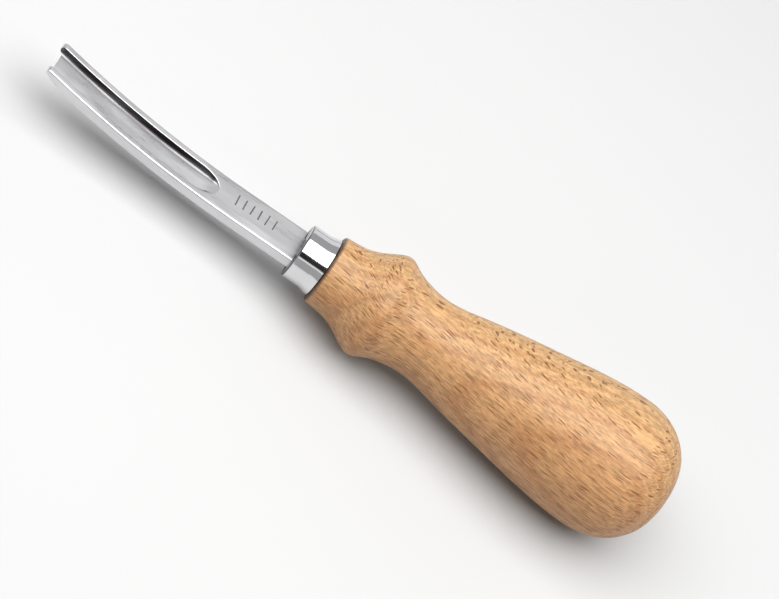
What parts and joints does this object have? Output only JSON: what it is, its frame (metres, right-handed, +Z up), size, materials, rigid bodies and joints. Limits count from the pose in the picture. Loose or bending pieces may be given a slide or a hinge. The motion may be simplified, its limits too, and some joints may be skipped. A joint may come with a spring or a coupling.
{
  "type": "edge beveler",
  "caption": "Hand edge beveler for leather: upturned steel blade with a channel between two rails, short plated ferrule and turned wooden handle with a collar and palm swell.",
  "frame": {"origin": "on the handle's turning axis, halfway along the tool", "axes": "+X along the turning axis towards the butt, +Z up out of the blade's grooved face, +Y completes the right-handed frame"},
  "size_m": [0.16, 0.032, 0.032],
  "materials": {
    "blade_steel": "satin ground, polished on the edges",
    "plated_steel": "polished chrome plate",
    "beech": "turned beech with satin clear varnish",
    "epoxy": "cured amber epoxy"
  },
  "bodies": {
    "root": {"blade": "blade_steel", "ferrule": "plated_steel", "handle": "beech", "tang_adhesive": "epoxy"}
  },
  "joints": []
}
